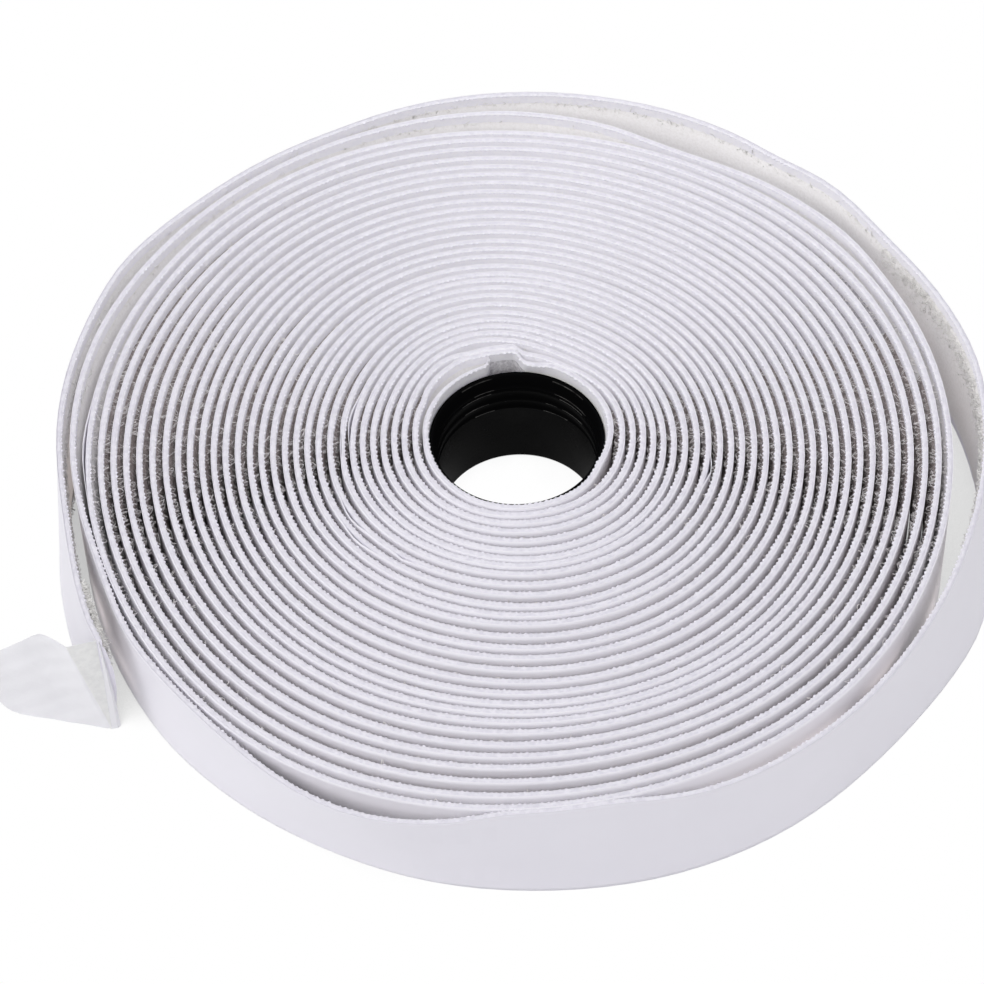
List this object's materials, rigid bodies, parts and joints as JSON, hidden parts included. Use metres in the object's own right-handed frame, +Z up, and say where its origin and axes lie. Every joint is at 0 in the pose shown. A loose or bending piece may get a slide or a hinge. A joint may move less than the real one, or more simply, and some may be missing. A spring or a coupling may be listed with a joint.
{
  "type": "hook and loop tape roll",
  "caption": "Roll of self-adhesive loop tape lying flat on a short moulded core, with its last turn slack, the tape's end lifted and the release liner folded back.",
  "frame": {"origin": "centre of the footprint, at the level that the roll lies on; the core's axis passes 3.6 mm to +X and 1.1 mm to -Y of it", "axes": "+Z up along the core's axis, across the tape's width; +X to the right of the view, away from the lifted end; +Y to the back, away from the side where the outer turns lean out"},
  "size_m": [0.179, 0.1682, 0.025],
  "materials": {
    "core": "moulded gloss",
    "tape": "brushed loop pile",
    "liner": "smooth satin film"
  },
  "bodies": {
    "roll": {"core_tube": "core", "tape_winding": "tape", "liner_winding": "liner"},
    "tail": {"tape_tail": "tape", "liner_tail": "liner"},
    "flap": {"liner_flap": "liner"}
  },
  "joints": [
    {"name": "tail_swing", "type": "hinge", "parent": "roll", "child": "tail", "pos_m": [-0.08027, -0.00117, 0.0125], "axis": [0, 0, -1], "range_deg": [-2, 60]},
    {"name": "liner_fold", "type": "hinge", "parent": "tail", "child": "flap", "pos_m": [-0.06939, -0.0456, 0.0125], "axis": [0, 0, 1], "range_deg": [-38, 125]}
  ]
}
